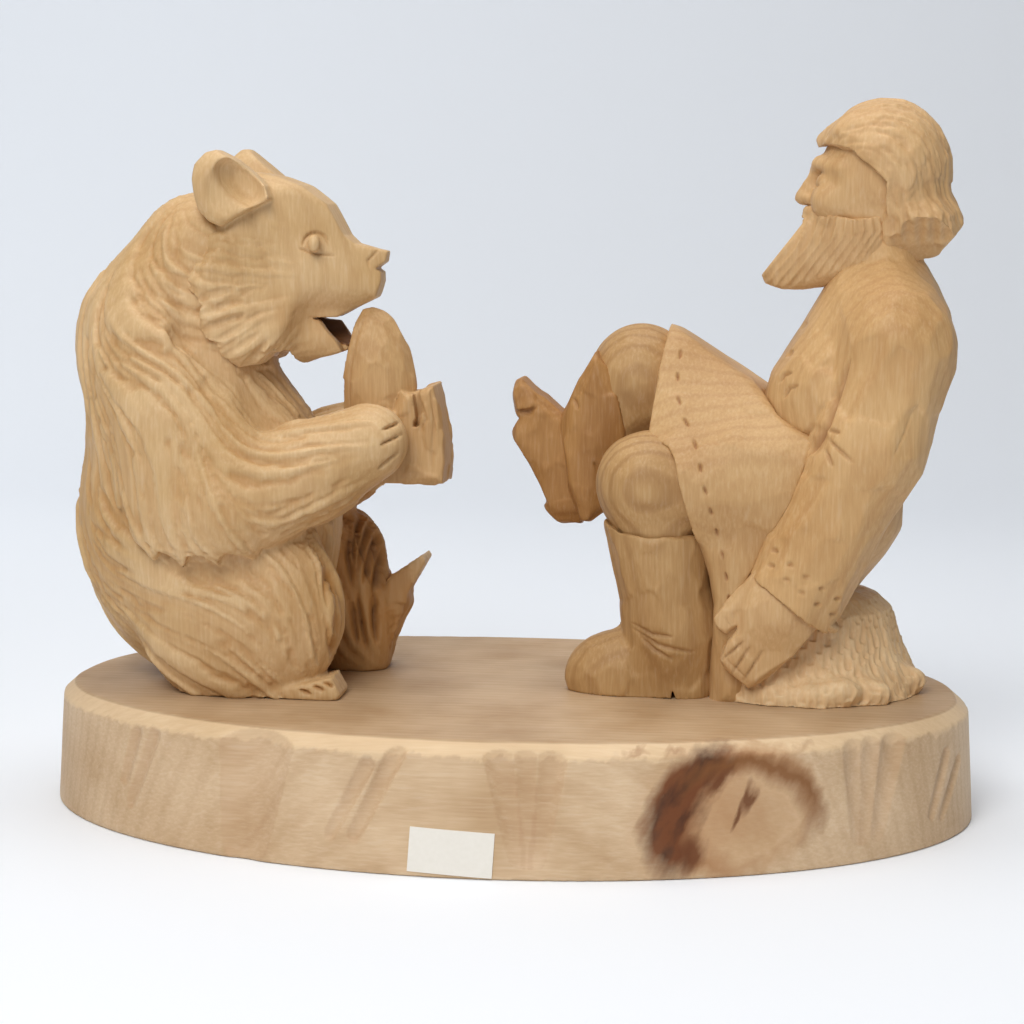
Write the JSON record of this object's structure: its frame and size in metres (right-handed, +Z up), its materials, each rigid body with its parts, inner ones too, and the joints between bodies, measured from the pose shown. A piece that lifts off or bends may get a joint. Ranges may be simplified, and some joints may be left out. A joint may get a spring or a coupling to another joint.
{
  "type": "carved wooden figurine",
  "caption": "Hand-carved limewood figurine group: a seated bear biting a felt boot faces a bearded old man sitting on a tree stump, on an oval slab.",
  "frame": {"origin": "centre of the slab's underside", "axes": "+X along the slab from the bear to the old man, +Y to the back, +Z up"},
  "size_m": [0.24, 0.142, 0.181],
  "materials": {
    "slab_wood": "bare pale limewood with a brown knot, knife-cut wall",
    "figure_wood": "bare honey-coloured limewood, hand carved, matt",
    "stump_wood": "bare limewood, gouged like bark",
    "dowel_wood": "plain turned dowel, hidden",
    "label_paper": "blank matt paper label"
  },
  "bodies": {
    "root": {"base_slab": "slab_wood", "bear_figure": "figure_wood", "held_boot": "figure_wood", "old_man_figure": "figure_wood", "raised_leg": "figure_wood", "tree_stump": "stump_wood", "price_label": "label_paper", "bear_dowels": "dowel_wood", "stump_dowels": "dowel_wood", "seat_dowel": "dowel_wood", "boot_pin": "dowel_wood", "raised_leg_dowel": "dowel_wood"}
  },
  "joints": []
}
